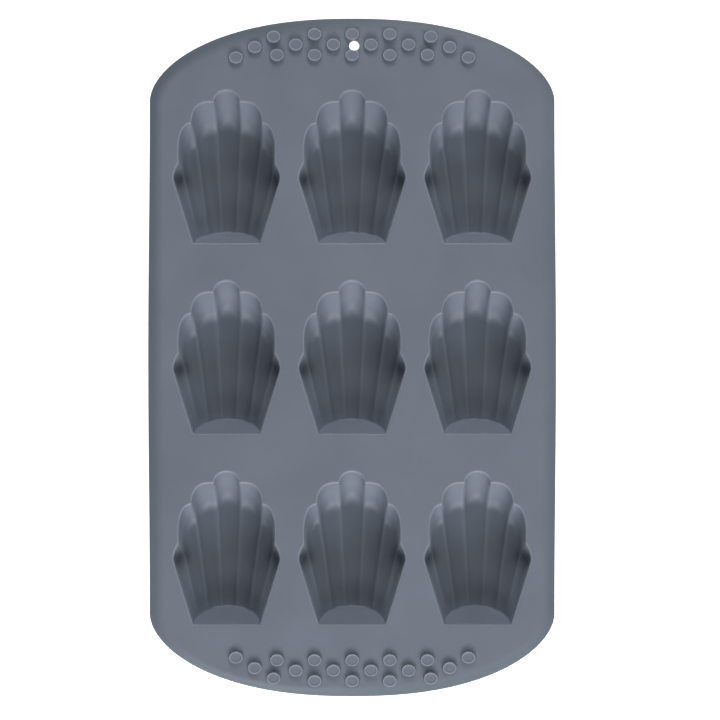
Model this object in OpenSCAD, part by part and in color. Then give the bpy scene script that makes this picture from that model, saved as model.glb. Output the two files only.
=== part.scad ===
// A flexible nine-cup madeleine pan, moulded in one piece of silicone rubber.
// The flat deck carries three rows of three fluted shell cups, an arched grip at each end and a
// sloping rim all round. Up is +Z, +Y points to the end with the hanging hole, and the origin is
// on the table under the middle of the pan. Each region of the moulding is one solid, and the
// solids meet face to face.

/* [Overall size] */
// Width over the rim at the middle of the long sides
pan_w = 177; // [174:0.5:240]
// Length over the rim from tip to tip of the arched ends
pan_l = 294; // [288:1:400]
// How far each long side bows out between the arched ends
side_bow = 0.7; // [0:0.1:4]
// Length of each arched end, from the end of the side to the tip
arch_l = 35.6; // [26:0.2:45]
// Fullness of the arch across the pan, where 2 is an ellipse
arch_fullness = 2.29; // [2:0.01:3]
// Squareness of the arch along the pan, where 2 is an ellipse
arch_squareness = 1.79; // [1.5:0.01:2.5]

/* [Deck and rim] */
// Thickness of the deck and of the rim
deck_t = 2; // [1.5:0.1:3]
// Width of the sloping rim, seen from above
rim_band = 4.4; // [3:0.1:8]
// Slope of the rim below the deck, in degrees
rim_slope = 26; // [5:1:40]

/* [Layout of the cups] */
// Deck between the rim and the widest point of the nearest cup
side_margin = 6.8; // [3:0.05:12]
// Distance from the tip of an arched end to the nearest cup
end_margin = 31.55; // [28:0.05:50]
// Least deck between the walls of neighbouring cups, which comes before the two margins
least_web = 2; // [1:0.1:4]
// Length of a grip flange, from the tip of the arch to the deck that carries the cups
grip_l = 23.4; // [20:0.1:30]

/* [Cup] */
// Length of a cup from its heel to the tip of its middle flute
cup_l = 66.1; // [55:0.1:80]
// Width of a cup over its ears
cup_w = 46; // [38:0.1:50]
// Width of the straight heel of a cup
heel_w = 28.8; // [22:0.1:32]
// Depth of a cup under the deck's top face
cup_depth = 17; // [12:0.1:25]
// Thickness of a cup's wall
cup_wall = 1.3; // [0.9:0.1:2.2]
// How far the heel wall leans in from the deck to the floor
heel_lean = 5.7; // [3:0.1:9]
// Slope of the middle flute's end at the deck, in degrees
fan_slope = 57; // [42:1:64]
// How far the floor rises from its level stretch to the fan end
floor_rise = 1.4; // [0:0.1:4]
// Height of the ridges between the flutes, on the floor near the fan end
ridge_h = 1.2; // [0.2:0.1:1.6]
// How far the rounded edge of a cup dips below the deck
lip_drop = 0.4; // [0.1:0.05:0.8]

/* [Grip dots] */
// Width of a dot across the pan
dot_w = 6; // [4:0.1:7]
// Length of a dot along the pan
dot_l = 5.1; // [3.5:0.1:6]
// Height of a dot over the deck
dot_h = 1.2; // [0.6:0.1:2]
// Depth of the shallow dish in a dot's top
dot_dish = 0.2; // [0.1:0.05:0.4]
// Width of the raised edge round the dish
dot_edge = 0.6; // [0.4:0.1:1]
// Spacing of the dots in a row
dot_pitch = 16.25; // [13:0.05:18]
// Spacing of the three rows
dot_row = 4.5; // [4:0.1:6]
// Distance from the tip of the arch to the first row
first_row = 7.4; // [6:0.1:9]
// How much farther out the last dot of each row stands
last_dot_out = 1.45; // [0:0.05:2]
// How much farther from the tip the last dot of each row stands
last_dot_in = 1.1; // [0:0.05:2]

/* [Hanging hole] */
// Diameter of the hole
hole_d = 4.4; // [3:0.1:6]
// Distance from the tip of the arch to the hole
hole_from_tip = 12.2; // [10:0.1:14]
// Distance of the hole from the middle of the pan
hole_x = 0.9; // [-2:0.1:2]
// Clearance of the dots round the hole
hole_clear = 0.1; // [0.05:0.05:0.5]

/* [Hidden] */
row_names = ["hang", "middle", "far"];
column_names = ["left", "centre", "right"];
function cup_name(row, column) = str("cup_", row_names[row], "_", column_names[column]);

CUP_NODES = [for (row = [0:2], column = [0:2]) cup_name(row, column)];
DECK_NODES = ["grip_flange_hang", "deck_hang", "deck_middle", "deck_far", "grip_flange_far"];
RIM_NODES = ["rim_hang", "rim_right", "rim_far", "rim_left"];

silicone = [0.44, 0.46, 0.5];

// Heights and places that follow from the sizes above.
deck_z = cup_depth + cup_wall;
arch_a = pan_w / 2 - side_bow;
side_half = pan_l / 2 - arch_l;
closest = 2 * cup_wall + least_web;
column_pitch = max((pan_w - cup_w) / 2 - rim_band - side_margin, cup_w + closest);
row_pitch = max((pan_l - cup_l) / 2 - end_margin, cup_l + closest);
grip_y = max(pan_l / 2 - grip_l, row_pitch + cup_l / 2 + cup_wall + least_web);
web_ends = [grip_y, row_pitch / 2, -row_pitch / 2, -grip_y];
function column_x(column) = (column - 1) * column_pitch;
function heel_y(row) = (1 - row) * row_pitch - cup_l / 2;

// How finely the curves are divided.
arch_steps = 32;
side_steps = 8;
rim_edge_steps = 4;
flute_steps = 4;
run_steps = 10;
dot_steps = 20;

eps = 0.01;

function unit(v) = v / norm(v);
function right_of(v) = [v.y, -v.x];

// A closed anticlockwise ring of points, moved outwards by d with mitred corners.
function offset_ring(ring, d) =
    let (n = len(ring))
    [for (i = [0:n - 1])
        let (before = right_of(unit(ring[i] - ring[(i + n - 1) % n])))
        let (after = right_of(unit(ring[(i + 1) % n] - ring[i])))
        ring[i] + d * (before + after) / (1 + before * after)];

// The outline of the pan. Each end is a superellipse, and each side a shallow wave.
function arch_point(a) = [
    sign(cos(a)) * arch_a * pow(abs(cos(a)), 2 / arch_fullness),
    side_half + arch_l * pow(sin(a), 2 / arch_squareness)
];
function side_point(y) = [arch_a + side_bow * (1 + cos(180 * y / side_half)) / 2, y];
right_side = [for (i = [0:side_steps - 1]) side_point(side_half * (2 * i / side_steps - 1))];
hang_arch = [for (i = [0:arch_steps - 1]) arch_point(180 * i / arch_steps)];
rim_outline = concat(right_side, hang_arch, -right_side, -hang_arch);
deck_outline = offset_ring(rim_outline, -rim_band);

// The rim's section as [outward, up] from the deck's top edge: a sloping strip with a round edge.
rim_r = deck_t * cos(rim_slope) / 2;
rim_centre = [rim_band - rim_r, -deck_t / 2 - (rim_band - rim_r) * tan(rim_slope)];
function rim_edge_angle(i) =
    let (f = 2 * i / rim_edge_steps - 1)
    f < 0 ? -f * (90 - rim_slope) : -f * (90 + rim_slope);
function rim_edge_point(a) = rim_centre + rim_r * [cos(a), sin(a)];
rim_section = concat(
    [[0, 0]],
    [for (i = [0:rim_edge_steps]) rim_edge_point(rim_edge_angle(i))],
    [[0, -deck_t]]
);

// The fan-shaped outline of a cup. u counts flutes from the middle one, and lies on a ridge at
// each half. Points are shares of half the cup's width and of its length.
flutes = 7;
last_u = flutes / 2;
ridge_ends = [[0.239, 0.924], [0.661, 0.787], [0.896, 0.531], [0.989, 0.4085]];
lobe_pulls = [[0.648, 0.9395], [0.948, 0.7746], [1.033, 0.457]];
function bend(p, pull, q, f) = (1 - f) * (1 - f) * p + 2 * f * (1 - f) * pull + f * f * q;
function middle_lobe(u) = [
    ridge_ends[0].x * sin(180 * u),
    ridge_ends[0].y + (1 - ridge_ends[0].y) * cos(180 * u)
];
function side_lobe(u) =
    let (k = min(floor(u + 0.5), 3))
    bend(ridge_ends[k - 1], lobe_pulls[k - 1], ridge_ends[k], u + 0.5 - k);
function fan_point(u) =
    let (p = abs(u) <= 0.5 ? middle_lobe(abs(u)) : side_lobe(abs(u)))
    [sign(u) * p.x * cup_w / 2, p.y * cup_l];

// The depth of a cup below its edge. t runs along a flute, from 0 at the heel to 1 at the fan,
// and s is the distance left to the fan's edge. The floor is level over the first share of its
// length. Across the cup its section is an ellipse at the heel and fuller towards the fan, where
// it blends softly into the slopes at the ends of the flutes, which are steeper at the sides.
level_share = 0.3;
side_fullness = 0.55;
end_blend = 0.5;
slope_gain = 3.5;
heel_ridge_share = 0.4;
full_depth = cup_depth - lip_drop;
function from_ridge(u) = abs(2 * (u - round(u)));
function floor_depth(t) = full_depth - floor_rise * pow(max(0, t - level_share) / (1 - level_share), 2);
function ridge_share(t) = ridge_h / cup_depth * (heel_ridge_share + (1 - heel_ridge_share) * t);
function across(u, t) =
    pow(cos(180 * u / flutes), 1 - side_fullness * t * (2 - t))
    * (1 - ridge_share(t) * pow(from_ridge(u), 2));
function end_depth(u, s) = s * tan(fan_slope + slope_gain * abs(u));
function soft_min(a, b, blend) = min(a, b) - pow(max(0, blend - abs(a - b)), 2) / (4 * blend);
function below_edge(u, t, s) =
    let (bowl = floor_depth(t) * across(u, t))
    soft_min(end_depth(u, s), bowl, end_blend * bowl + eps);

// The cavity's surface. Flutes run straight in plan, from the heel wall's foot to the fan's edge.
function heel_foot(u) = [
    heel_w / 2 * sin(180 * u / flutes),
    heel_lean * across(u, 0)
];
function cavity_point(u, t) =
    let (start = heel_foot(u))
    let (end = fan_point(u))
    let (plan = start + t * (end - start))
    [plan.x, plan.y, -lip_drop - below_edge(u, t, (1 - t) * norm(end - start))];

// The cavity as a grid: i counts lines across the fan, and j counts steps along a flute, closer
// together towards the fan.
lines = flutes * flute_steps;
grid_size = (lines + 1) * (run_steps + 1);
bunching = 1.3;
function line_u(i) = i / flute_steps - last_u;
function step_t(j) = 1 - pow(1 - j / run_steps, bunching);
cavity = [for (i = [0:lines]) [for (j = [0:run_steps]) cavity_point(line_u(i), step_t(j))]];
heel_middle = [0, 0, -lip_drop];

// The cup's edge as a ring: along the fan from right to left, down the left side, across the
// heel and up the right side. A ring place is [i, j] on the grid, or [] for the heel's middle.
ring_size = lines + 2 * run_steps + 2;
ring_heel = lines + run_steps + 1;
function ring_place(k) =
    k <= lines ? [lines - k, run_steps]
    : k < ring_heel ? [0, ring_heel - 1 - k]
    : k == ring_heel ? []
    : [lines, k - ring_heel - 1];
function ring_k(i, j) = j == run_steps ? lines - i : i == 0 ? ring_heel - 1 - j : ring_heel + 1 + j;
cup_edge = [for (k = [0:ring_size - 1])
    let (place = ring_place(k))
    let (p = place == [] ? heel_middle : cavity[place[0]][place[1]])
    [p.x, p.y]];
cup_opening = offset_ring(cup_edge, cup_wall);

// The outside of the shell lies one wall off the cavity. Its crown is flattened where it stands,
// and none of it is above the deck's underside.
stand_share = 0.02;
function over(p, z) = [p.x, p.y, z];
function across_grid(i, j) = cavity[i + 1][j] - cavity[i - 1][j];
function along_grid(i, j) = cavity[i][j + 1] - cavity[i][max(j - 1, 0)];
function shell_normal(i, j) = unit(cross(along_grid(i, j), across_grid(i, j)));
heel_normal = unit([0, -full_depth, -heel_lean]);
function mitre(a, b) = (a + b) / (1 + a * b);
function outward(i, j) = j > 0 ? shell_normal(i, j) : mitre(shell_normal(i, j), heel_normal);
function shell_depth(d) = max(deck_t + 2 * eps, min(d * (1 + stand_share), deck_z));
function shell_point(i, j) =
    i == 0 || i == lines || j == run_steps
    ? over(cup_opening[ring_k(i, j)], -deck_t)
    : let (p = cavity[i][j] + cup_wall * outward(i, j)) [p.x, p.y, -shell_depth(-p.z)];

// The faces of the shell as triangles, clockwise from outside. Points are the cavity's grid, the
// outside's grid, the two points at the heel's middle, then the ring at the deck's top face.
inside_heel = 2 * grid_size;
outside_heel = inside_heel + 1;
top_ring = inside_heel + 2;
function grid_index(i, j) = i * (run_steps + 1) + j;
function ring_index(k, first, heel) =
    let (place = ring_place(k % ring_size))
    place == [] ? heel : first + grid_index(place[0], place[1]);
function inside_k(k) = ring_index(k, 0, inside_heel);
function outside_k(k) = ring_index(k, grid_size, outside_heel);
function top_k(k) = top_ring + k % ring_size;
function two_triangles(a, b, c, d) = [[a, b, c], [a, c, d]];
shell_points = concat(
    [for (line = cavity) each line],
    [for (i = [0:lines], j = [0:run_steps]) shell_point(i, j)],
    [heel_middle, over(cup_opening[ring_heel], -deck_t)],
    [for (p = cup_opening) over(p, 0)]
);
inside_faces = [for (i = [0:lines - 1], j = [0:run_steps - 1])
    each two_triangles(
        grid_index(i, j),
        grid_index(i, j + 1),
        grid_index(i + 1, j + 1),
        grid_index(i + 1, j)
    )];
inside_wall = [for (i = [0:lines - 1]) [inside_heel, grid_index(i, 0), grid_index(i + 1, 0)]];
outside_faces = [for (face = inside_faces) [for (n = [2:-1:0]) face[n] + grid_size]];
outside_wall = [for (i = [0:lines - 1])
    [outside_heel, grid_size + grid_index(i + 1, 0), grid_size + grid_index(i, 0)]];
lip_faces = [for (k = [0:ring_size - 1])
    each two_triangles(top_k(k), inside_k(k), inside_k(k + 1), top_k(k + 1))];
collar_faces = [for (k = [0:ring_size - 1])
    each two_triangles(top_k(k), top_k(k + 1), outside_k(k + 1), outside_k(k))];
shell_faces = concat(
    inside_faces, inside_wall, outside_faces, outside_wall, lip_faces, collar_faces
);

// A fluted shell cup, with its collar flush in the deck.
module cup(row, column) {
    color(silicone)
    translate([column_x(column), heel_y(row), deck_z])
    polyhedron(shell_points, shell_faces, convexity = 6);
}

// A slice of the deck between two lines across the pan.
module deck_slice(y0, y1) {
    intersection() {
        polygon(deck_outline);
        translate([-pan_w, y0]) square([2 * pan_w, y1 - y0]);
    }
}

// The web of deck that carries one row of cups.
module deck_row(row) {
    color(silicone)
    translate([0, 0, deck_z - deck_t])
    linear_extrude(deck_t)
    difference() {
        deck_slice(web_ends[row + 1], web_ends[row]);
        for (column = [0:2])
        translate([column_x(column), heel_y(row)])
        polygon(cup_opening);
    }
}

// The arched flange with the hanging hole, and the plain one at the far end.
hole_place = [hole_x, pan_l / 2 - hole_from_tip];
module grip_flange_hang() {
    color(silicone)
    difference() {
        translate([0, 0, deck_z - deck_t])
        linear_extrude(deck_t)
        deck_slice(grip_y, pan_l);
        translate(over(hole_place, deck_z - 2 * deck_t))
        cylinder(d = hole_d, h = 3 * deck_t, $fn = 48);
    }
}

module grip_flange_far() {
    color(silicone)
    translate([0, 0, deck_z - deck_t])
    linear_extrude(deck_t)
    deck_slice(-pan_l, -grip_y);
}

// A section carried along the rim, over the outline's points from first to last, as one solid.
function rim_point(i, p) =
    let (n = i % len(rim_outline))
    over(deck_outline[n] + (rim_outline[n] - deck_outline[n]) * p[0] / rim_band, deck_z + p[1]);
module sweep_rim(section, first, last) {
    n = len(section);
    count = last - first;
    points = [for (i = [first:last], p = section) rim_point(i, p)];
    sides = [for (i = [0:count - 1], k = [0:n - 1])
        let (next = (k + 1) % n)
        each two_triangles(i * n + k, (i + 1) * n + k, (i + 1) * n + next, i * n + next)];
    start_cap = [[for (k = [0:n - 1]) k]];
    end_cap = [[for (k = [n - 1:-1:0]) count * n + k]];
    polyhedron(points, concat(sides, start_cap, end_cap), convexity = 4);
}

// One of the four stretches of the rim.
module rim(first, last) {
    color(silicone)
    sweep_rim(rim_section, first, last);
}

// The grip dots of one end. Row 0 is nearest the tip and has five dots, row 1 six, row 2 seven.
function last_dot(row) = 4 + row;
function dot_place(row, i) =
    let (last = last_dot(row) / 2)
    let (from_middle = i - last)
    let (outermost = abs(from_middle) == last ? 1 : 0)
    [
        from_middle * dot_pitch + sign(from_middle) * last_dot_out * outermost,
        pan_l / 2 - first_row - row * dot_row - last_dot_in * outermost
    ];
function oval(w, l) = [for (i = [0:dot_steps - 1])
    let (a = 360 * i / dot_steps)
    [w / 2 * cos(a), l / 2 * sin(a)]];

module dot(below) {
    difference() {
        translate([0, 0, -below])
        linear_extrude(dot_h + below)
        polygon(oval(dot_w, dot_l));
        translate([0, 0, dot_h - dot_dish])
        linear_extrude(dot_h)
        polygon(oval(dot_w - 2 * dot_edge, dot_l - 2 * dot_edge));
    }
}

// The first row stands partly on the sloping rim, so its dots reach down to it.
rim_drop = rim_band * tan(rim_slope);
under_dots = [
    [-dot_l, 0], [0, 0], [rim_band, -rim_drop], [rim_band, -2 * rim_drop], [-dot_l, -2 * rim_drop]
];
module dots_on_rim() {
    difference() {
        for (i = [0:last_dot(0)])
        translate(over(dot_place(0, i), deck_z)) dot(rim_drop);
        sweep_rim(under_dots, side_steps, side_steps + arch_steps);
        translate([0, 0, deck_z - 2 * rim_drop])
        linear_extrude(2 * rim_drop)
        polygon(deck_outline);
    }
}

module grip_dots() {
    dots_on_rim();
    for (row = [1, 2], i = [0:last_dot(row)])
    translate(over(dot_place(row, i), deck_z)) dot(0);
}

// The dots at the hanging hole are cut back round it.
module grip_dots_hang() {
    color(silicone)
    difference() {
        grip_dots();
        translate(over(hole_place, deck_z - dot_h))
        linear_extrude(3 * dot_h)
        polygon(oval(hole_d + 2 * hole_clear, hole_d + 2 * hole_clear));
    }
}

module grip_dots_far() {
    color(silicone)
    rotate(180)
    grip_dots();
}

grip_flange_hang();
deck_row(0);  // deck_hang
deck_row(1);  // deck_middle
deck_row(2);  // deck_far
grip_flange_far();
rim(0, side_steps);  // rim_right
rim(side_steps, side_steps + arch_steps);  // rim_hang
rim(side_steps + arch_steps, 2 * side_steps + arch_steps);  // rim_left
rim(2 * side_steps + arch_steps, 2 * (side_steps + arch_steps));  // rim_far
for (row = [0:2], column = [0:2])
cup(row, column);
grip_dots_hang();
grip_dots_far();
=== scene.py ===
"""Looks of a nine-cup silicone madeleine pan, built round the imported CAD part.

The pan is one moulding, and each region of it gets a smooth piece here, worked out from the same
sizes as its CAD node, with the rounds that the plain solids leave out. The regions meet on flat deck,
edge to edge, so their seams don't show. Sizes are in millimetres until a mesh is made.
"""

import math

import bpy
import numpy as np
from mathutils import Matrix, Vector
from mathutils.geometry import delaunay_2d_cdt


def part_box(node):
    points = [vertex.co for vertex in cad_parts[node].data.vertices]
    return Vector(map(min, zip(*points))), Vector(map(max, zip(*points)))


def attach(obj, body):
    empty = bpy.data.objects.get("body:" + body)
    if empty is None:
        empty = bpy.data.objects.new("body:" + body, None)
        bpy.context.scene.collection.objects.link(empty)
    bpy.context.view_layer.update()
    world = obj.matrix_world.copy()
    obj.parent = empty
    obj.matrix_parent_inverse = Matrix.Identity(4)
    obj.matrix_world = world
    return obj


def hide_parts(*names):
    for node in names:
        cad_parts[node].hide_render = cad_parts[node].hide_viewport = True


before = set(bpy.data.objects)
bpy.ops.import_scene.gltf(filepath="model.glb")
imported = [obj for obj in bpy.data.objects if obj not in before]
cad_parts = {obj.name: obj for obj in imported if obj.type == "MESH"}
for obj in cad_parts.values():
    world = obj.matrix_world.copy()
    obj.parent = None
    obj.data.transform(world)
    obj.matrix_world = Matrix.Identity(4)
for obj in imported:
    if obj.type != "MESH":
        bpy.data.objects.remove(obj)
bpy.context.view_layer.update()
MM = 0.001

# Overall size and rim, as in the CAD source.
PAN_W, PAN_L = 177.0, 294.0
SIDE_BOW, ARCH_L = 0.7, 35.6
ARCH_FULLNESS, ARCH_SQUARENESS = 2.29, 1.79
DECK_T, RIM_BAND, RIM_SLOPE = 2.0, 4.4, math.radians(26)
GRIP_Y, ROW_END_Y = 123.6, 41.2

# Cup.
CUP_L, CUP_W, HEEL_W = 66.1, 46.0, 28.8
CUP_DEPTH, CUP_WALL, LIP_DROP = 17.0, 1.3, 0.4
HEEL_LEAN, FAN_SLOPE, FLOOR_RISE, RIDGE_H = 5.7, 57.0, 1.4, 1.2
DECK_Z = CUP_DEPTH + CUP_WALL

# Grip dots and hanging hole.
DOT_W, DOT_L, DOT_H, DOT_DISH, DOT_EDGE = 6.0, 5.1, 1.2, 0.2, 0.6
DOT_PITCH, DOT_ROW, FIRST_ROW, LAST_DOT_OUT, LAST_DOT_IN = 16.25, 4.5, 7.4, 1.45, 1.1
DOT_ROOT = 1.5  # how deep a dot's underside goes into the deck
DOT_FOLLOW = 0.45  # height up to which a dot's side follows the bend and slope of the rim
HOLE_R, HOLE_X, HOLE_Y, HOLE_CLEAR = 2.2, 0.9, PAN_L / 2 - 12.2, 0.1

# Rounds and seams that only the visual pieces have.
LIP_BEVEL = 0.5  # from the cup's sharp edge out to the start of the small bevel round it
LIP_TILT = math.radians(30)  # of that bevel
LIP_ROUND = 0.3  # from each of the bevel's two corners to where its round ends
UNDER_ROUND = 0.9  # the same in the corner between a cup's outside and the deck's underside
CUP_SEAM = 3.0  # from a cup's edge to its seam in the deck
RIM_ROUND = 2.2  # the soft bend between deck and rim
RIM_SEAM = 2.4  # from that bend inwards to the rim's seam
FOOT_BLEND = 1.5  # depth over which the heel wall runs into the floor
RIDGE_ROUND = 0.28  # share of half a flute over which a ridge's crest is round
CREST_ROUND = 0.9  # to each side, over which the crests between the end slopes are round
CREST_START = 4.0  # depth from which they are that round
HOLE_ROUND = 0.35  # of the hanging hole's two edges

# Painted shade, painted highlights and the rim's matt finish, as shares from 0 to 1 that the material
# turns into darker, lighter or more matt silicone.
SIDE_MATT_AND_SHADE = 0.4  # of the rim's matt finish and painted shade along the sides, against 1 at the ends
LIP_HIGHLIGHT = 0.5  # painted highlight on the bevel round each cup
RIDGE_HIGHLIGHT, RIDGE_HIGHLIGHT_SHARE = 0.22, 0.25  # painted highlight on the crests, over that share of half a flute
RIDGE_HIGHLIGHT_START = 1.0  # the depth where that starts
RIDGE_HIGHLIGHT_END = 0.3  # the part of the last flute that stays free of it, at the ear
CUP_SHADE, CUP_SHADE_START, CUP_SHADE_RUN = 0.6, 2.0, 9.0  # painted shade in the cups, darker deeper down, and the depths over which it comes in
CUP_SHADE_HEEL = 0.6  # share of the way down the heel wall from which it comes in there
FAN_SHADE_Y, FAN_SHADE_RUN, FAN_SHADE_START = 28.0, 14.0, 7.0  # the painted shade starts deeper under the fan
EAR_SHADE, EAR_X, EAR_Y, EAR_REACH = 0.75, 20.7, 28.0, 2.8  # painted shade in the ears' pockets: its share, place and reach
EAR_START, EAR_RUN = 0.5, 1.5  # the depths over which that comes in

# How finely the meshes are made.
RING = 520  # points round a cup
WALL_REACH, WALL_RINGS = 2.0, 14  # how far in from a cup's edge its rings go, and how many they are
LIP_STEPS = 4  # in each of the bevel's two rounds
OUTER_POINTS = 16  # from the deck's underside down the outside of a cup's wall
HEEL_POINTS, FLUTE_POINTS = 7, 62  # of the cup's middle up the heel wall and along a flute
GRID_GAP = 0.25  # between the rings of the wall and the points of the middle
SLOPE_REACH = 0.7  # to each side, over which the slopes that the cup's outside follows are taken
LEAST_REACH = 0.03  # the same beside the edge
HALVINGS = 26  # to find a point's flute
LEAST_BLEND = 0.01
EDGE_STEPS, EDGE_DENSE = 400, 1700  # points of the cup's edge before it is softened
SIDE_POINTS, ARCH_POINTS = 60, 150  # steps of the rim along a side and round an end
SIDE_DENSE, ARCH_DENSE = 400, 1600  # points of those curves before they are spaced evenly
BEND_POINTS, EDGE_POINTS = 8, 11  # of the rim's bend and of its round edge
DOT_RING, HOLE_RING = 56, 64  # points round a dot and round the hanging hole
HOLE_STEPS = 4  # in each of the hole's two rounds
JOIN = 1e-5  # points nearer than that are one to the triangulation
SHARP_ANGLE = 40  # above which an edge is shaded sharp
STRIP_SHARP_ANGLE = 60  # the same on the rim and the dots, whose rounds are coarser


# Curves and rings.


def unit(v):
    return v / np.linalg.norm(v, axis=-1, keepdims=True)


def resample(ring, count, closed=True):
    """The same line with points evenly spaced along it."""
    line = np.vstack([ring, ring[:1]]) if closed else ring
    run = np.r_[0, np.cumsum(np.linalg.norm(np.diff(line, axis=0), axis=1))]
    at = np.linspace(0, run[-1], count, endpoint=not closed)
    return np.column_stack([np.interp(at, run, line[:, i]) for i in range(line.shape[1])])


def soften(ring, width):
    """A closed, evenly spaced ring smoothed by a bell curve of that width."""
    step = np.linalg.norm(ring[1] - ring[0])
    reach = int(math.ceil(3 * width / step))
    weights = np.exp(-0.5 * (np.arange(-reach, reach + 1) * step / width) ** 2)
    shifted = [w * np.roll(ring, i - reach, axis=0) for i, w in enumerate(weights / weights.sum())]
    return np.sum(shifted, axis=0)


def outward(ring):
    """Unit normals of an anticlockwise ring, pointing out of it."""
    along = unit(np.roll(ring, -1, axis=0) - np.roll(ring, 1, axis=0))
    return np.column_stack([along[:, 1], -along[:, 0]])


def smooth_min(a, b, blend):
    return np.minimum(a, b) - np.maximum(0, blend - np.abs(a - b)) ** 2 / (4 * blend)


def bend(a, corner, c, f):
    f = np.asarray(f)[..., None]
    return (1 - f) ** 2 * a + 2 * f * (1 - f) * corner + f**2 * c


# Shape of a cup's cavity, with x from its middle line and y from its heel.

LAST_U = 3.5  # flutes from the middle line to the ear
RIDGE_ENDS = np.array([[0.239, 0.924], [0.661, 0.787], [0.896, 0.531], [0.989, 0.4085]])
LOBE_PULLS = np.array([[0.648, 0.9395], [0.948, 0.7746], [1.033, 0.457]])
LEVEL_SHARE, SIDE_FULLNESS, END_BLEND, SLOPE_GAIN, HEEL_RIDGE_SHARE = 0.3, 0.55, 0.5, 3.5, 0.4
FULL_DEPTH = CUP_DEPTH - LIP_DROP
EDGE_SOFTNESS, NORMAL_SOFTNESS = 0.4, 2.2  # of the cup's edge and of the way out from it
# Places beside a point, as shares of the crests' round, and their weights in it.
CREST_KERNEL = [
    (-1, 1 / 16),
    (-2 / 3, 2 / 16),
    (-1 / 3, 3 / 16),
    (1 / 3, 3 / 16),
    (2 / 3, 2 / 16),
    (1, 1 / 16),
]


def fan_edge(u):
    """Plan point of the fan's edge at flute u, for u from 0 at the middle to LAST_U at the ear."""
    middle = np.stack(
        [
            RIDGE_ENDS[0, 0] * np.sin(np.pi * u),
            RIDGE_ENDS[0, 1] + (1 - RIDGE_ENDS[0, 1]) * np.cos(np.pi * u),
        ],
        axis=-1,
    )
    lobe = np.clip(np.floor(u + 0.5), 1, 3).astype(int)
    side = bend(RIDGE_ENDS[lobe - 1], LOBE_PULLS[lobe - 1], RIDGE_ENDS[lobe], u + 0.5 - lobe)
    share = np.where((u <= 0.5)[..., None], middle, side)
    return share * [CUP_W / 2, CUP_L]


def across(u, t):
    """Share of the floor's depth at flute u: an ellipse that fills out towards the fan, with ridges."""
    f = np.abs(2 * (u - np.round(u)))
    crest = f**2 - np.maximum(0, f - 1 + RIDGE_ROUND) ** 2 / RIDGE_ROUND
    ridge = RIDGE_H / CUP_DEPTH * (HEEL_RIDGE_SHARE + (1 - HEEL_RIDGE_SHARE) * t)
    ridge = ridge * crest / (1 - RIDGE_ROUND)
    arch = np.cos(np.pi / 2 * np.minimum(u / LAST_U, 1))
    return np.maximum(arch, 0) ** (1 - SIDE_FULLNESS * t * (2 - t)) * (1 - ridge)


def heel_foot(u):
    return np.stack([HEEL_W / 2 * np.sin(np.pi / 2 * u / LAST_U), HEEL_LEAN * across(u, 0 * u)], axis=-1)


def flute_at(x, y):
    """Flute u through plan points, how far along it they lie as a share t, and its end slope there."""
    low, high = np.zeros_like(x), np.full_like(x, LAST_U)
    for _ in range(HALVINGS):
        u = (low + high) / 2
        start, end = heel_foot(u), fan_edge(u)
        run = end - start
        right = run[..., 0] * (y - start[..., 1]) - run[..., 1] * (x - start[..., 0]) < 0
        low, high = np.where(right, u, low), np.where(right, high, u)
    length = np.linalg.norm(run, axis=-1)
    t = ((x - start[..., 0]) * run[..., 0] + (y - start[..., 1]) * run[..., 1]) / length**2
    slope = (1 - np.clip(t, 0, 1)) * length * np.tan(np.radians(FAN_SLOPE + SLOPE_GAIN * u))
    return u, t, slope


def cavity_depth(p):
    """Depth of the cavity under the deck at plan points, before its edge is rounded."""
    x, y = np.abs(p[..., 0]), p[..., 1]
    u, t, slope = flute_at(x, y)
    reach = CREST_ROUND * np.clip(slope / CREST_START, 0, 1)
    beside = [weight * flute_at(np.abs(x + k * reach), y)[2] for k, weight in CREST_KERNEL]
    slope = (1 - sum(weight for _, weight in CREST_KERNEL)) * slope + sum(beside)
    before_foot = t < 0
    u = np.where(before_foot, np.arcsin(np.minimum(x / (HEEL_W / 2), 1)) * LAST_U * 2 / np.pi, u)
    t = np.clip(t, 0, 1)
    rise = FLOOR_RISE * (np.maximum(0, t - LEVEL_SHARE) / (1 - LEVEL_SHARE)) ** 2
    bowl = (FULL_DEPTH - rise) * across(u, t)
    under = np.where(before_foot, bowl, smooth_min(slope, bowl, END_BLEND * bowl + LEAST_BLEND))
    heel = np.maximum(y, 0) / HEEL_LEAN * FULL_DEPTH
    depth = smooth_min(heel, under, FOOT_BLEND * bowl / FULL_DEPTH + LEAST_BLEND)
    return np.maximum(depth, 0) * CUP_DEPTH / FULL_DEPTH


def cavity_normal(p, reach):
    """Unit normals pointing out of the cavity into its wall, from slopes taken over that reach."""
    dx, dy = np.zeros_like(p), np.zeros_like(p)
    dx[..., 0], dy[..., 1] = reach, reach
    slope_x = (cavity_depth(p + dx) - cavity_depth(p - dx)) / (2 * reach)
    slope_y = (cavity_depth(p + dy) - cavity_depth(p - dy)) / (2 * reach)
    return unit(np.stack([-slope_x, -slope_y, -np.ones_like(slope_x)], axis=-1))


def cup_edge_ring(count):
    """The cup's edge in plan, anticlockwise from the left end of the heel, with its corners softened."""
    u = np.linspace(LAST_U, 0, EDGE_STEPS)
    right = fan_edge(u)
    fan = np.vstack([right, (right * [-1, 1])[-2::-1]])
    corners = np.array([[-HEEL_W / 2, 0], [HEEL_W / 2, 0]])
    dense = resample(np.vstack([corners, fan]), EDGE_DENSE)
    return resample(soften(dense, EDGE_SOFTNESS), count)


# Meshes.


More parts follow.
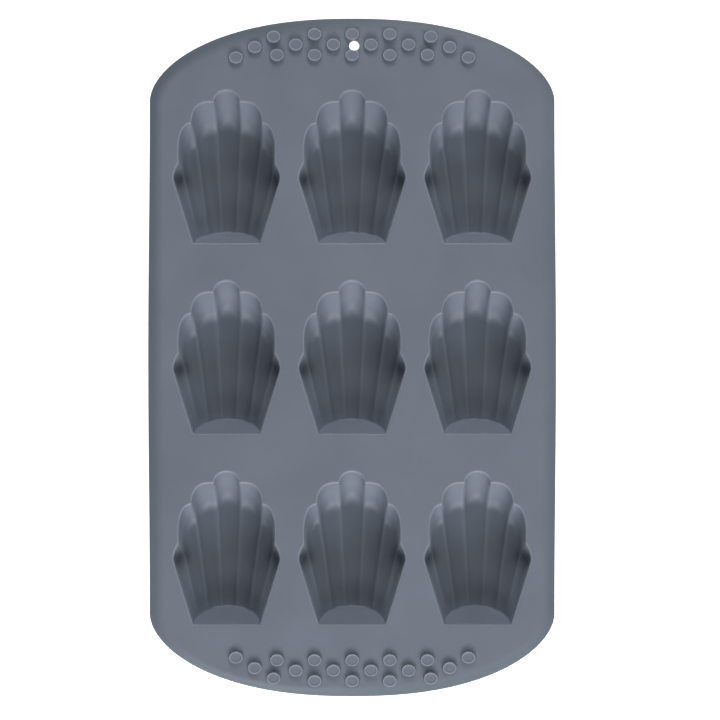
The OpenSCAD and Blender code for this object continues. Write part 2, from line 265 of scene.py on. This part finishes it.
def mesh_object(name, points, faces, material, sharp_angle=SHARP_ANGLE, marks=None):
    """A mesh from points in millimetres, with marks as named numbers of its points for the material."""
    mesh = bpy.data.meshes.new(name)
    mesh.from_pydata((np.asarray(points) * MM).tolist(), [], faces)
    mesh.validate()
    mesh.polygons.foreach_set("use_smooth", [True] * len(mesh.polygons))
    mesh.set_sharp_from_angle(angle=math.radians(sharp_angle))
    mesh.materials.append(material)
    for mark, values in (marks or {}).items():
        mesh.attributes.new(mark, "FLOAT", "POINT").data.foreach_set("value", values)
    obj = bpy.data.objects.new(name, mesh)
    bpy.context.scene.collection.objects.link(obj)
    return obj


def stand_for(obj, node):
    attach(obj, "root")
    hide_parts(node)


def strip(a, b):
    """Quads between two closed rings of vertex numbers.

    They face out when both rings run anticlockwise and b lies above a.
    """
    n = len(a)
    return [(a[i], a[(i + 1) % n], b[(i + 1) % n], b[i]) for i in range(n)]


def fill(points, loops):
    """Triangles between the outer loop and the others, which are holes, as numbers of the points given."""
    edges = [(loop[i], loop[(i + 1) % len(loop)]) for loop in loops for i in range(len(loop))]
    made = delaunay_2d_cdt([Vector(p) for p in points], edges, [], 0, JOIN)
    verts, faces, origins = made[0], made[2], made[3]
    rings = [np.array([points[i] for i in loop]) for loop in loops]
    corners = np.array([[verts[i] for i in f] for f in faces], float)
    middles = corners.mean(axis=1)
    keep = inside(middles, rings[0])
    for ring in rings[1:]:
        keep &= ~inside(middles, ring)
    return [tuple(origins[i][0] for i in f) for f, k in zip(faces, keep) if k]


def inside(points, ring):
    """Whether plan points lie inside a ring."""
    x, y = points[:, 0][:, None], points[:, 1][:, None]
    a, b = ring, np.roll(ring, -1, axis=0)
    crosses = (a[:, 1] > y) != (b[:, 1] > y)
    with np.errstate(divide="ignore", invalid="ignore"):
        at = a[:, 0] + (y - a[:, 1]) / (b[:, 1] - a[:, 1]) * (b[:, 0] - a[:, 0])
    return (np.sum(crosses & (x < at), axis=1) % 2).astype(bool)


def rounded(lines, corner, length, steps, counts):
    """Lines of 3D points, each a row, with the corner at that place of each row rounded.

    The round reaches length along both arms. counts gives how many points the arms before and after
    it get, evenly spaced.
    """
    done = []
    for line in lines:
        arms = [line[: corner + 1][::-1], line[corner:]]
        parts = []
        for arm, count in zip(arms, counts):
            run = np.r_[0, np.cumsum(np.linalg.norm(np.diff(arm, axis=0), axis=1))]
            start = min(length, 0.9 * run[-1])
            at = start + (run[-1] - start) * np.linspace(0, 1, count)
            parts.append(np.column_stack([np.interp(at, run, arm[:, i]) for i in range(3)]))
        f = np.arange(1, steps) / steps
        curve = bend(parts[0][0], line[corner], parts[1][0], f)
        done.append(np.vstack([parts[0][::-1], curve, parts[1]]))
    return np.array(done)


# The cup.

edge = cup_edge_ring(RING)
edge_out = unit(soften(outward(edge), NORMAL_SOFTNESS))


def at_reach(q):
    """Plan points at distance q outwards from the cup's edge."""
    return edge + q * edge_out


def bevelled(lines):
    """Lines from a cup's seam over its edge and down its wall, with a small bevel in place of the edge."""
    done = []
    for line in lines:
        seam, corner, wall = line[0], line[1], line[1:]
        inwards = np.linalg.norm((wall - corner)[:, :2], axis=1)
        over = -wall[:, 2] - (LIP_BEVEL + inwards) * math.tan(LIP_TILT)
        deep = np.nonzero(over > 0)[0][0]
        a, b = wall[deep - 1], wall[deep]
        end = a + (b - a) * over[deep - 1] / (over[deep - 1] - over[deep])
        out = unit(seam - corner)
        start = corner + LIP_BEVEL * out
        reach = [start + LIP_ROUND * out, start + LIP_ROUND * unit(end - start)]
        first_round = bend(reach[0], start, reach[1], np.linspace(0, 1, LIP_STEPS + 1))
        lower = np.vstack([start, end, wall[deep:]])
        below = rounded([lower], corner=1, length=LIP_ROUND, steps=LIP_STEPS, counts=(2, 9))[0][1:]
        done.append(np.vstack([seam, (seam + start) / 2, first_round, below]))
    return np.array(done)


def cavity_grid():
    """Plan points up the heel wall and along the flutes, closer together at the ridges and the foot."""
    offsets = np.array([-0.5, -0.45, -0.4, -0.33, -0.24, -0.12, 0, 0.12, 0.24, 0.33, 0.4, 0.45])
    us = np.concatenate([flute + offsets for flute in range(-3, 4)])[1:]
    near_foot = np.array([0.1, 0.22, 0.38, 0.6])  # distances to both sides of it
    nearest = 0.5  # that the even points of the heel wall come to it
    points = []
    for u in us:
        start, end = heel_foot(np.array(abs(u))), fan_edge(np.array(abs(u)))
        run = end - start
        length = np.linalg.norm(run)
        wall = np.linspace(0.08, 0.9, HEEL_POINTS) * start[1]
        up = np.r_[wall[wall < start[1] - nearest], start[1] - near_foot[::-1], start[1]]
        heel = np.column_stack([np.full(len(up), start[0]), up])
        along = np.r_[near_foot, np.linspace(1.0, 0.985 * length, FLUTE_POINTS)] / length
        line = np.vstack([heel, start + along[:, None] * run])
        points.append(line * [np.sign(u) or 1, 1])
    return np.vstack(points)


def cup_marks(points, lines):
    """Marks of the points inside a cup. The first of them run down RING lines of that many points."""
    x, y, depth = np.abs(points[:, 0]), points[:, 1], -points[:, 2]
    # Painted shade, darker deeper in the cup and starting deeper under the fan slope.
    start = CUP_SHADE_START + FAN_SHADE_START * np.clip((y - FAN_SHADE_Y) / FAN_SHADE_RUN, 0, 1)
    past_heel = np.clip(y / HEEL_LEAN - CUP_SHADE_HEEL, 0, 1)
    painted_shade = CUP_SHADE * np.clip((depth - start) / CUP_SHADE_RUN, 0, 1) * past_heel
    # Nearly black painted shade in the ears' pockets.
    ear = np.exp(-((x - EAR_X) ** 2 + (y - EAR_Y) ** 2) / (2 * EAR_REACH**2))
    pocket_shade = EAR_SHADE * ear * np.clip((depth - EAR_START) / EAR_RUN, 0, 1)
    # Painted highlight on the flutes' crests.
    u = flute_at(x, y)[0]
    from_crest = 1 - np.abs(2 * (u - np.round(u)))
    crest = np.clip(1 - from_crest / RIDGE_HIGHLIGHT_SHARE, 0, 1) * (u < LAST_U - RIDGE_HIGHLIGHT_END)
    painted_highlight = RIDGE_HIGHLIGHT * crest * np.clip(depth - RIDGE_HIGHLIGHT_START, 0, 1) * (y > HEEL_LEAN)
    # Painted highlight on the bevel round the cup.
    first = 2 + LIP_STEPS // 2  # the middle of the bevel's upper round
    last = first + LIP_STEPS + 1  # and of its lower one
    on_bevel = (np.arange(lines) >= first) & (np.arange(lines) <= last)
    on_lines = RING * lines
    painted_highlight[:on_lines] = np.maximum(painted_highlight[:on_lines], np.tile(LIP_HIGHLIGHT * on_bevel, RING))
    return {"painted_shade": painted_shade, "painted_highlight": painted_highlight, "pocket_shade": pocket_shade}


def cup_mesh():
    reaches = -WALL_REACH * (np.arange(1, WALL_RINGS + 1) / WALL_RINGS) ** 2
    plan = np.stack([at_reach(q) for q in reaches], axis=1)
    wall = np.concatenate([plan, -cavity_depth(plan)[..., None]], axis=-1)
    level = lambda q, z: np.column_stack([at_reach(q), np.full(RING, z)])
    inner = np.concatenate([level(CUP_SEAM, 0)[:, None], level(0, 0)[:, None], wall], axis=1)
    inner = bevelled(inner)

    # The outside of the wall, up to the deck's underside.
    steps = np.clip(0.5 * -reaches, LEAST_REACH, SLOPE_REACH)[None, :] * np.ones((RING, 1))
    shell = wall + CUP_WALL * cavity_normal(plan, steps)
    under = []
    clear = 0.05  # below the deck's underside
    for line, seam in zip(shell, level(CUP_SEAM, -DECK_T)):
        deep = np.nonzero(line[:, 2] < -DECK_T - clear)[0][0]
        a, b = (line[deep - 1], line[deep]) if deep else (line[0], line[0])
        f = np.clip((-DECK_T - a[2]) / (b[2] - a[2]), 0, 1) if deep else 0.0
        corner = a + f * (b - a)
        corner[2] = -DECK_T
        tail = resample(np.vstack([corner, line[deep:]]), OUTER_POINTS, closed=False)
        under.append(np.vstack([seam, tail]))
    outer = rounded(np.array(under), corner=1, length=UNDER_ROUND, steps=4, counts=(3, 8))

    # The middle, on the same triangles inside and outside.
    low_ring = inner[:, -1, :2]
    grid = cavity_grid()
    grid = grid[inside(grid, at_reach(-WALL_REACH - GRID_GAP))]
    middle = np.column_stack([grid, -cavity_depth(grid)])
    shell_middle = middle + CUP_WALL * cavity_normal(grid, np.full(len(grid), SLOPE_REACH))
    shell_middle[:, 2] = np.maximum(shell_middle[:, 2], -DECK_Z)
    outer[:, :, 2] = np.maximum(outer[:, :, 2], -DECK_Z)

    n_in, n_out = inner.shape[1], outer.shape[1]
    points = np.vstack([inner.reshape(-1, 3), middle, outer.reshape(-1, 3), shell_middle])
    first_middle = RING * n_in
    first_outer = first_middle + len(middle)
    first_shell = first_outer + RING * n_out
    ring_in = lambda j: [k * n_in + j for k in range(RING)]
    ring_out = lambda j: [first_outer + k * n_out + j for k in range(RING)]
    faces = []
    for j in range(n_in - 1):
        faces += strip(ring_in(j), ring_in(j + 1))
    for j in range(n_out - 1):
        faces += strip(ring_out(j + 1), ring_out(j))
    faces += strip(ring_out(0), ring_in(0))
    plan_points = np.vstack([low_ring, grid])
    inner_number = ring_in(n_in - 1) + [first_middle + i for i in range(len(grid))]
    outer_number = ring_out(n_out - 1) + [first_shell + i for i in range(len(grid))]
    for f in fill(plan_points.tolist(), [list(range(RING))]):
        faces.append(tuple(inner_number[i] for i in f))
        faces.append(tuple(outer_number[i] for i in f[::-1]))
    inside_marks = cup_marks(points[:first_outer], n_in)
    unmarked = np.zeros(len(points) - first_outer)
    marks = {name: np.concatenate([values, unmarked]) for name, values in inside_marks.items()}
    return points + [0, 0, DECK_Z], faces, marks


# The rim.

ARCH_A = PAN_W / 2 - SIDE_BOW
SIDE_HALF = PAN_L / 2 - ARCH_L
RIM_SOFTNESS = 2.5  # of the way out from the rim


def pan_outline():
    """The rim's outer edge in plan, anticlockwise from the start of the right side."""
    y = np.linspace(-SIDE_HALF, SIDE_HALF, SIDE_DENSE)
    side = np.column_stack([ARCH_A + SIDE_BOW * (1 + np.cos(np.pi * y / SIDE_HALF)) / 2, y])
    a = np.linspace(0, np.pi, ARCH_DENSE)[1:-1]
    arch = np.column_stack(
        [
            np.sign(np.cos(a)) * ARCH_A * np.abs(np.cos(a)) ** (2 / ARCH_FULLNESS),
            SIDE_HALF + ARCH_L * np.sin(a) ** (2 / ARCH_SQUARENESS),
        ]
    )
    side = resample(side, SIDE_POINTS + 1, closed=False)
    arch = resample(np.vstack([side[-1], arch, side[-1] * [-1, 1]]), ARCH_POINTS + 1, closed=False)
    return np.vstack([side[:-1], arch[:-1], -side[:-1], -arch[:-1]])


outline = pan_outline()
outline_out = unit(soften(outward(resample(outline, len(outline))), RIM_SOFTNESS))
rim_line = outline - RIM_BAND * outline_out
rim_seam = outline - (RIM_BAND + RIM_SEAM) * outline_out


def rim_section():
    """The rim's section as closed points [outwards from the bend, up], clockwise from the top seam."""
    slope = math.tan(RIM_SLOPE)
    r = DECK_T * math.cos(RIM_SLOPE) / 2
    centre = np.array([RIM_BAND - r, -DECK_T / 2 - (RIM_BAND - r) * slope])
    angles = np.radians(np.linspace(90, -90, EDGE_POINTS)) - RIM_SLOPE
    edge_round = centre + r * np.column_stack([np.cos(angles), np.sin(angles)])
    down = np.array([math.cos(RIM_SLOPE), -math.sin(RIM_SLOPE)])
    f = np.linspace(0, 1, BEND_POINTS)
    top, low = np.zeros(2), np.array([0, -DECK_T])
    flat = np.array([-RIM_ROUND, 0])
    top_bend = bend(top + flat, top, top + RIM_ROUND * down, f)
    low_bend = bend(low + flat, low, low + RIM_ROUND * down, f)[::-1]
    return np.vstack([[[-RIM_SEAM, 0]], top_bend, edge_round, low_bend, [[-RIM_SEAM, -DECK_T]]])


def rim_mesh(first, count):
    """A stretch of rim over that many steps of the outline."""
    section = rim_section()
    n = len(section)
    at = np.arange(first, first + count + 1) % len(outline)
    plan = rim_line[at][:, None] + section[None, :, :1] * outline_out[at][:, None]
    z = np.broadcast_to(section[:, 1] + DECK_Z, plan.shape[:2])
    points = np.concatenate([plan, z[..., None]], axis=-1).reshape(-1, 3)
    faces = []
    for i in range(count):
        for k in range(n):
            m = (k + 1) % n
            faces.append((i * n + k, i * n + m, (i + 1) * n + m, (i + 1) * n + k))
    faces.append(tuple(range(n))[::-1])
    faces.append(tuple(count * n + k for k in range(n)))
    # Matt finish and painted shade on the rim beyond its bend, stronger towards the ends.
    beyond_bend = np.clip((section[:, 0] + RIM_ROUND) / (2 * RIM_ROUND), 0, 1)
    towards_end = np.abs(outline_out[at][:, 1])
    rim_matt_and_shade = (SIDE_MATT_AND_SHADE + (1 - SIDE_MATT_AND_SHADE) * towards_end)[:, None] * beyond_bend
    return points, faces, {"matt_and_shade": rim_matt_and_shade.ravel()}


# The deck and its grip flanges.


def slab(outer, holes):
    """A flat piece of deck between its two faces, with an outer ring and holes, all anticlockwise."""
    rings = [outer, *holes]
    plan = np.vstack(rings)
    n = len(plan)
    starts = np.cumsum([0] + [len(r) for r in rings])
    loops = [list(range(starts[i], starts[i + 1])) for i in range(len(rings))]
    top = fill(plan.tolist(), loops)
    levels = (DECK_Z, DECK_Z - DECK_T)
    points = np.vstack([np.column_stack([plan, np.full(n, level)]) for level in levels])
    faces = top + [tuple(i + n for i in f[::-1]) for f in top]
    for index, loop in enumerate(loops):
        low = [i + n for i in loop]
        faces += strip(low, loop) if index == 0 else strip(loop, low)
    return points, faces


def slice_ring(y0, y1):
    """The deck's part of the rim's seam between two lines across the pan."""
    kept = []
    for a, b in zip(rim_seam, np.roll(rim_seam, -1, axis=0)):
        cuts = sorted((y - a[1]) / (b[1] - a[1]) for y in (y0, y1) if (a[1] - y) * (b[1] - y) < 0)
        if y0 < a[1] < y1:
            kept.append(a)
        kept += [a + f * (b - a) for f in cuts]
    return np.array(kept)


# Dots.


def dot_places():
    """Places of one end's dots, from the tip inwards, for the end at +y."""
    places = []
    for row in range(3):
        last = (4 + row) / 2
        for i in range(5 + row):
            k = i - last
            outermost = abs(k) == last
            x = k * DOT_PITCH + np.sign(k) * LAST_DOT_OUT * outermost
            places.append((x, PAN_L / 2 - FIRST_ROW - row * DOT_ROW - LAST_DOT_IN * outermost))
    return places


def rim_height(plan):
    """Height of the deck and rim against the deck's flat, at plan points near the rim."""
    gap = plan[:, None] - rim_line[None]
    nearest = np.argmin(np.sum(gap**2, axis=-1), axis=1)
    out = np.sum(gap[np.arange(len(plan)), nearest] * outline_out[nearest], axis=1)
    section = rim_section()[: 1 + BEND_POINTS + 2]  # the top, as far as the start of the round edge
    return np.interp(out, section[:, 0], section[:, 1])


def dot_mesh(place):
    """One dot: rings from under the deck's skin up the side, over the raised edge and into the dish."""
    flat_z = DOT_H - DOT_DISH
    # Each ring as how far it lies out from the dot's outline, and up from the deck.
    foot = [(0.36, -0.5), (0.36, -0.02), (0.3, 0.015), (0.12, 0.03)]
    side = foot + [(0.06, 0.3), (0.03, DOT_H - 0.25)]
    raised = [(-0.1, DOT_H - 0.03), (-0.25, DOT_H), (-0.42, DOT_H - 0.04)]
    dish = [(-DOT_EDGE - 0.02, flat_z + 0.08), (-DOT_EDGE - 0.2, flat_z + 0.015)]
    dish += [(-DOT_EDGE - 0.6, flat_z), (-1.8, flat_z)]
    rings = side + [(0.0, DOT_H - 0.12)] + raised + dish
    a = np.linspace(0, 2 * np.pi, DOT_RING, endpoint=False)
    points = []
    for grow, z in rings:
        plan = np.column_stack([(DOT_W / 2 + grow) * np.cos(a), (DOT_L / 2 + grow) * np.sin(a)]) + place
        share = np.clip(1 - z / DOT_FOLLOW, 0, 1)
        points.append(np.column_stack([plan, z + share * rim_height(plan)]))
    points.append(np.array([[*place, flat_z]]))
    points.append(np.array([[*place, -DOT_ROOT]]))
    points = np.vstack(points)
    near = points[:, :2] - [HOLE_X, HOLE_Y]
    distance = np.linalg.norm(near, axis=1)
    cut = (distance < HOLE_R + HOLE_CLEAR) & (place[1] > 0)
    points[cut, :2] = [HOLE_X, HOLE_Y] + near[cut] / distance[cut, None] * (HOLE_R + HOLE_CLEAR)
    number = lambda j: [j * DOT_RING + k for k in range(DOT_RING)]
    faces = []
    for j in range(len(rings) - 1):
        faces += strip(number(j), number(j + 1))
    top, low = len(rings) * DOT_RING, len(rings) * DOT_RING + 1
    last, first = number(len(rings) - 1), number(0)
    faces += [(last[k], last[(k + 1) % DOT_RING], top) for k in range(DOT_RING)]
    faces += [(first[(k + 1) % DOT_RING], first[k], low) for k in range(DOT_RING)]
    painted_shade, painted_highlight = np.zeros(len(points)), np.zeros(len(points))
    # Painted shade on the dot's side.
    painted_shade[: len(side) * DOT_RING] = 1
    # Painted highlight on the dot's raised edge.
    first_raised = (len(side) + 1) * DOT_RING
    painted_highlight[first_raised : first_raised + len(raised) * DOT_RING] = 1
    return points + [0, 0, DECK_Z], faces, painted_shade, painted_highlight


def dots_mesh(sign):
    points, faces, painted_shades, painted_highlights, count = [], [], [], [], 0
    for x, y in dot_places():
        p, f, painted_shade, painted_highlight = dot_mesh(np.array([sign * x, sign * y]))
        points.append(p)
        painted_shades.append(painted_shade)
        painted_highlights.append(painted_highlight)
        faces += [tuple(i + count for i in face) for face in f]
        count += len(p)
    return np.vstack(points), faces, {"painted_shade": np.concatenate(painted_shades), "painted_highlight": np.concatenate(painted_highlights)}


def flange_with_hole():
    """The grip flange at +y, with the hanging hole's edges rounded."""
    n = HOLE_RING
    a = np.linspace(0, 2 * np.pi, n, endpoint=False)
    circle = np.column_stack([np.cos(a), np.sin(a)])
    middle = np.array([HOLE_X, HOLE_Y])
    wide = middle + (HOLE_R + HOLE_ROUND) * circle
    points, faces = slab(slice_ring(GRIP_Y, PAN_L), [wide])
    count = len(points) // 2
    hole = range(count - n, count)
    top, low = list(hole), [i + count for i in hole]
    gone = {frozenset((top[k], top[(k + 1) % n], low[(k + 1) % n], low[k])) for k in range(n)}
    faces = [f for f in faces if frozenset(f) not in gone]
    turn = np.linspace(0, np.pi / 2, HOLE_STEPS + 1)[1:]
    rings = []
    for t in turn:
        rings.append((HOLE_R + HOLE_ROUND * (1 - math.sin(t)), -HOLE_ROUND * (1 - math.cos(t))))
    for t in turn[::-1]:
        rings.append((HOLE_R + HOLE_ROUND * (1 - math.sin(t)), -DECK_T + HOLE_ROUND * (1 - math.cos(t))))
    before = top
    for r, z in rings:
        ring = np.column_stack([middle + r * circle, np.full(n, DECK_Z + z)])
        now = list(range(len(points), len(points) + n))
        points = np.vstack([points, ring])
        faces += strip(before, now)
        before = now
    faces += strip(before, low)
    return points, faces


# Silicone: a slate grey, satin skin with a faint grain and slow changes of tone. The marks of the mesh
# points bring in painted shade, painted highlights and the rim's matt finish.

TONE_LOW, TONE_HIGH = (0.13, 0.15, 0.186, 1), (0.146, 0.168, 0.208, 1)
# Tones of the marks: painted shade in the cups and on the dots' sides, darker painted shade on the rim,
# nearly black painted shade in the ears' pockets, and painted highlights.
MARK_TONES = [
    ("painted_shade", (0.09, 0.104, 0.132, 1)),
    ("matt_and_shade", (0.082, 0.106, 0.13, 1)),
    ("pocket_shade", (0.02, 0.024, 0.03, 1)),
    ("painted_highlight", (0.22, 0.245, 0.28, 1)),
]
ROUGH_LOW, ROUGH_HIGH, ROUGH_MATT = 0.42, 0.52, 0.65
NOISE_LOW, NOISE_HIGH = 0.3, 0.7  # between which nearly all of a noise's values lie


def silicone_material():
    material = bpy.data.materials.new("silicone")
    material.use_nodes = True
    tree = material.node_tree
    nodes, links = tree.nodes, tree.links
    shader = nodes["Principled BSDF"]
    shader.inputs["Specular IOR Level"].default_value = 0.3
    shader.inputs["IOR"].default_value = 1.42
    shader.inputs["Sheen Weight"].default_value = 0.06
    shader.inputs["Sheen Roughness"].default_value = 0.35
    where = nodes.new("ShaderNodeTexCoord").outputs["Object"]

    def noise(scale, detail):
        made = nodes.new("ShaderNodeTexNoise")
        made.inputs["Scale"].default_value = scale
        made.inputs["Detail"].default_value = detail
        links.new(where, made.inputs["Vector"])
        return made.outputs["Fac"]

    def spread(value, low, high):
        made = nodes.new("ShaderNodeMapRange")
        made.inputs["From Min"].default_value = NOISE_LOW
        made.inputs["From Max"].default_value = NOISE_HIGH
        made.inputs["To Min"].default_value = low
        made.inputs["To Max"].default_value = high
        links.new(value, made.inputs["Value"])
        return made.outputs["Result"]

    def mark(name):
        made = nodes.new("ShaderNodeAttribute")
        made.attribute_name = name
        return made.outputs["Fac"]

    def mixed(kind, share, a, b):
        """A mix from a to b, each an output or a value, of colours or of numbers."""
        made = nodes.new("ShaderNodeMix")
        made.data_type = kind
        slots = [slot for slot in made.inputs if slot.enabled]
        for slot, given in zip(slots, (share, a, b)):
            if isinstance(given, bpy.types.NodeSocket):
                links.new(given, slot)
            else:
                slot.default_value = given
        return [slot for slot in made.outputs if slot.enabled][0]

    tone = mixed("RGBA", spread(noise(scale=35, detail=3), 0, 1), TONE_LOW, TONE_HIGH)
    for name, colour in MARK_TONES:
        tone = mixed("RGBA", mark(name), tone, colour)
    links.new(tone, shader.inputs["Base Color"])
    # The rim's matt finish; its darker tone among the mark tones is painted shade.
    rim_matt_and_shade = mark("matt_and_shade")
    skin_rough = spread(noise(scale=400, detail=4), ROUGH_LOW, ROUGH_HIGH)
    rough = mixed("FLOAT", rim_matt_and_shade, skin_rough, ROUGH_MATT)
    links.new(rough, shader.inputs["Roughness"])
    grain = nodes.new("ShaderNodeBump")
    grain.inputs["Strength"].default_value = 0.12
    grain.inputs["Distance"].default_value = 0.0001
    links.new(noise(scale=3500, detail=2), grain.inputs["Height"])
    links.new(grain.outputs["Normal"], shader.inputs["Normal"])
    return material


# Put the pieces together.

silicone = silicone_material()
one_cup, cup_faces, in_cup = cup_mesh()
cup_places = {}
for row, row_name in enumerate(("hang", "middle", "far")):
    for column, column_name in enumerate(("left", "centre", "right")):
        node = f"cup_{row_name}_{column_name}"
        low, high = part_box(node)
        place = np.array([(low.x + high.x) / 2 / MM, low.y / MM + CUP_WALL])
        cup_places[(row, column)] = place
        points = one_cup + [*place, 0]
        stand_for(mesh_object("shell_" + node, points, cup_faces, silicone, SHARP_ANGLE, in_cup), node)

seam_ring = at_reach(CUP_SEAM)
row_ends = [GRIP_Y, ROW_END_Y, -ROW_END_Y, -GRIP_Y]
for row, node in enumerate(("deck_hang", "deck_middle", "deck_far")):
    holes = [seam_ring + cup_places[(row, column)] for column in range(3)]
    points, faces = slab(slice_ring(row_ends[row + 1], row_ends[row]), holes)
    stand_for(mesh_object("web_" + node, points, faces, silicone), node)

points, faces = flange_with_hole()
stand_for(mesh_object("flange_hang", points, faces, silicone), "grip_flange_hang")
points, faces = slab(slice_ring(-PAN_L, -GRIP_Y), [])
stand_for(mesh_object("flange_far", points, faces, silicone), "grip_flange_far")

stretches = [
    ("rim_right", 0, SIDE_POINTS),
    ("rim_hang", SIDE_POINTS, ARCH_POINTS),
    ("rim_left", SIDE_POINTS + ARCH_POINTS, SIDE_POINTS),
    ("rim_far", 2 * SIDE_POINTS + ARCH_POINTS, ARCH_POINTS),
]
for node, first, count in stretches:
    points, faces, marks = rim_mesh(first, count)
    stand_for(mesh_object("sloping_" + node, points, faces, silicone, STRIP_SHARP_ANGLE, marks), node)

for node, sign in (("grip_dots_hang", 1), ("grip_dots_far", -1)):
    points, faces, marks = dots_mesh(sign)
    stand_for(mesh_object("raised_" + node, points, faces, silicone, STRIP_SHARP_ANGLE, marks), node)


# Floor, lamps and camera. Floor and lamps are in metres, the camera's sizes in millimetres.

FLOOR_HALF, FLOOR_DROP = 3, 0.0002
LAMP_WIDTH, LAMP_HEIGHT, LAMP_DISTANCE = 0.64, 0.35, 1.5
# Name, azimuth (0 is +Y, 90 is +X) and elevation in degrees, and power.
LAMPS = [
    ("north_low", 0, 23, 13.0),
    ("north_high", 0, 72, 0.5),
    ("north_east", 30, 36, 5.3),
    ("south_high", 180, 72, 0.5),
    ("south_low", 180, 21, 15.4),
    ("south_east_low", 150, 21, 7.2),
    ("south_east", 150, 36, 4.3),
    ("south_west", 210, 36, 5.5),
    ("west_low", 270, 14, 1.4),
    ("east_low", 90, 14, 1.2),
]
WORLD_LIGHT = 0.02  # of the white studio on the pan, against 1 where it is seen
CAMERA_HEIGHT = 750.0  # above the deck
VIEW_WIDTH = 311.2  # of the deck that the picture takes in
CAMERA_X, CAMERA_Y = 3.4, -1.1  # the photographed pan isn't quite in the picture's middle
SENSOR = 36


def seen_directly(nodes, links):
    """An output that is 1 for what the camera sees straight or in a reflection, and 0 for plain light."""
    path = nodes.new("ShaderNodeLightPath")
    seen = path.outputs["Is Camera Ray"]
    for ray in ("Is Glossy Ray", "Is Transmission Ray"):
        either = nodes.new("ShaderNodeMath")
        either.operation = "MAXIMUM"
        links.new(seen, either.inputs[0])
        links.new(path.outputs[ray], either.inputs[1])
        seen = either.outputs["Value"]
    return seen


def floor_material():
    """Matt white that is plain white where it is seen."""
    material = bpy.data.materials.new("pale_floor")
    material.use_nodes = True
    nodes, links = material.node_tree.nodes, material.node_tree.links
    shader = nodes["Principled BSDF"]
    shader.inputs["Base Color"].default_value = (0.8, 0.8, 0.8, 1)
    shader.inputs["Roughness"].default_value = 0.9
    shader.inputs["Emission Color"].default_value = (1, 1, 1, 1)
    links.new(seen_directly(nodes, links), shader.inputs["Emission Strength"])
    return material


floor_mesh = bpy.data.meshes.new("floor")
h = FLOOR_HALF
floor_mesh.from_pydata([(-h, -h, 0), (h, -h, 0), (h, h, 0), (-h, h, 0)], [], [(0, 1, 2, 3)])
floor_mesh.materials.append(floor_material())
floor = bpy.data.objects.new("floor", floor_mesh)
bpy.context.scene.collection.objects.link(floor)
floor.location.z = -FLOOR_DROP


def softbox(name, azimuth, elevation, watts):
    """A lamp that faces the pan from that side."""
    lamp = bpy.data.lights.new(name, "AREA")
    lamp.shape = "RECTANGLE"
    lamp.size, lamp.size_y = LAMP_WIDTH, LAMP_HEIGHT
    lamp.energy = watts
    obj = bpy.data.objects.new(name, lamp)
    a, e = math.radians(azimuth), math.radians(elevation)
    place = Vector((math.sin(a) * math.cos(e), math.cos(a) * math.cos(e), math.sin(e)))
    obj.location = place * LAMP_DISTANCE
    obj.rotation_euler = (-place).to_track_quat("-Z", "Y").to_euler()
    bpy.context.scene.collection.objects.link(obj)


for lamp in LAMPS:
    softbox(*lamp)

world = bpy.data.worlds.new("studio")
bpy.context.scene.world = world
world.use_nodes = True
background = world.node_tree.nodes["Background"]
background.inputs["Color"].default_value = (1, 1, 1, 1)
strength = world.node_tree.nodes.new("ShaderNodeMapRange")
strength.inputs["To Min"].default_value = WORLD_LIGHT
strength.inputs["To Max"].default_value = 1.0
world_links = world.node_tree.links
world_links.new(seen_directly(world.node_tree.nodes, world_links), strength.inputs["Value"])
world_links.new(strength.outputs["Result"], background.inputs["Strength"])

camera_data = bpy.data.cameras.new("camera")
camera_data.sensor_width = SENSOR
camera_data.lens = SENSOR * CAMERA_HEIGHT / VIEW_WIDTH
camera_data.clip_start, camera_data.clip_end = 0.01, 20
camera = bpy.data.objects.new("camera", camera_data)
camera.location = Vector((CAMERA_X, CAMERA_Y, DECK_Z + CAMERA_HEIGHT)) * MM
bpy.context.scene.collection.objects.link(camera)
bpy.context.scene.camera = camera
bpy.context.scene.view_settings.view_transform = "Standard"
